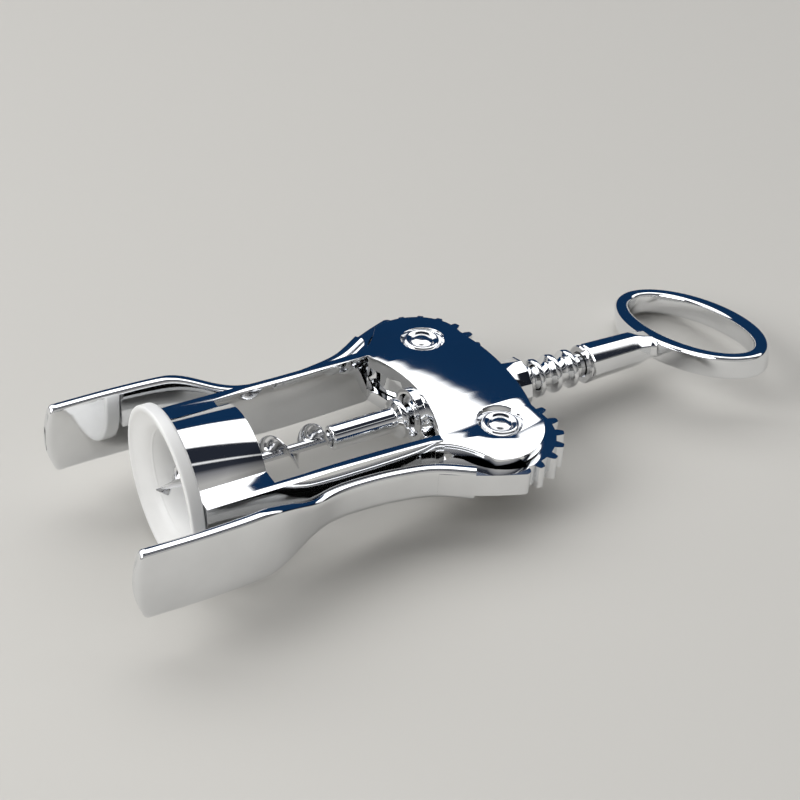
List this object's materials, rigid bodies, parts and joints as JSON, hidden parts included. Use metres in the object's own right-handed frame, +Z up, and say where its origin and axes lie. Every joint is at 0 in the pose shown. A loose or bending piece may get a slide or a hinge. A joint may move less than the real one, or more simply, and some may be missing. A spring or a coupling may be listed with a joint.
{
  "type": "lever corkscrew",
  "caption": "Wing corkscrew lying flat: bell with white cup, worm, toothed levers, ring-rack shaft and an oval ring handle, in chrome.",
  "frame": {"origin": "centre of the bounding box's bottom face; the tool's axis lies 18 mm above it", "axes": "+Y along the tool from the bell's mouth to the ring, +Z up, +X towards lever_near"},
  "size_m": [0.0644, 0.1664, 0.036],
  "materials": {
    "chrome_plate": "polished",
    "bright_steel": "satin",
    "white_plastic": "satin"
  },
  "bodies": {
    "frame": {"frame_casting": "chrome_plate", "cup_insert": "white_plastic", "rivet_near": "bright_steel", "rivet_far": "bright_steel"},
    "carrier": {"neck_washer": "bright_steel"},
    "handle": {"rack_shaft": "chrome_plate", "ring_handle": "chrome_plate", "cross_pin": "bright_steel", "worm": "bright_steel"},
    "lever_near_body": {"lever_near": "chrome_plate"},
    "lever_far_body": {"lever_far": "chrome_plate"}
  },
  "joints": [
    {"name": "rack_slide", "type": "slide", "parent": "frame", "child": "carrier", "axis": [0, -1, 0], "range_m": [0, 0.028]},
    {"name": "handle_spin", "type": "hinge", "parent": "carrier", "child": "handle", "pos_m": [0, 0.0388, 0.018], "axis": [0, 1, 0], "continuous": true},
    {"name": "lever_near_swing", "type": "hinge", "parent": "frame", "child": "lever_near_body", "pos_m": [0.01751, 0.0053, 0.018], "axis": [0, 0, 1], "range_deg": [0, 118]},
    {"name": "lever_far_swing", "type": "hinge", "parent": "frame", "child": "lever_far_body", "pos_m": [-0.01751, 0.0053, 0.018], "axis": [0, 0, -1], "range_deg": [0, 118]}
  ],
  "couplings": [
    {"joint": "lever_near_swing", "follows": "rack_slide", "rad_per_m": 73.492},
    {"joint": "lever_far_swing", "follows": "rack_slide", "rad_per_m": 73.492}
  ]
}
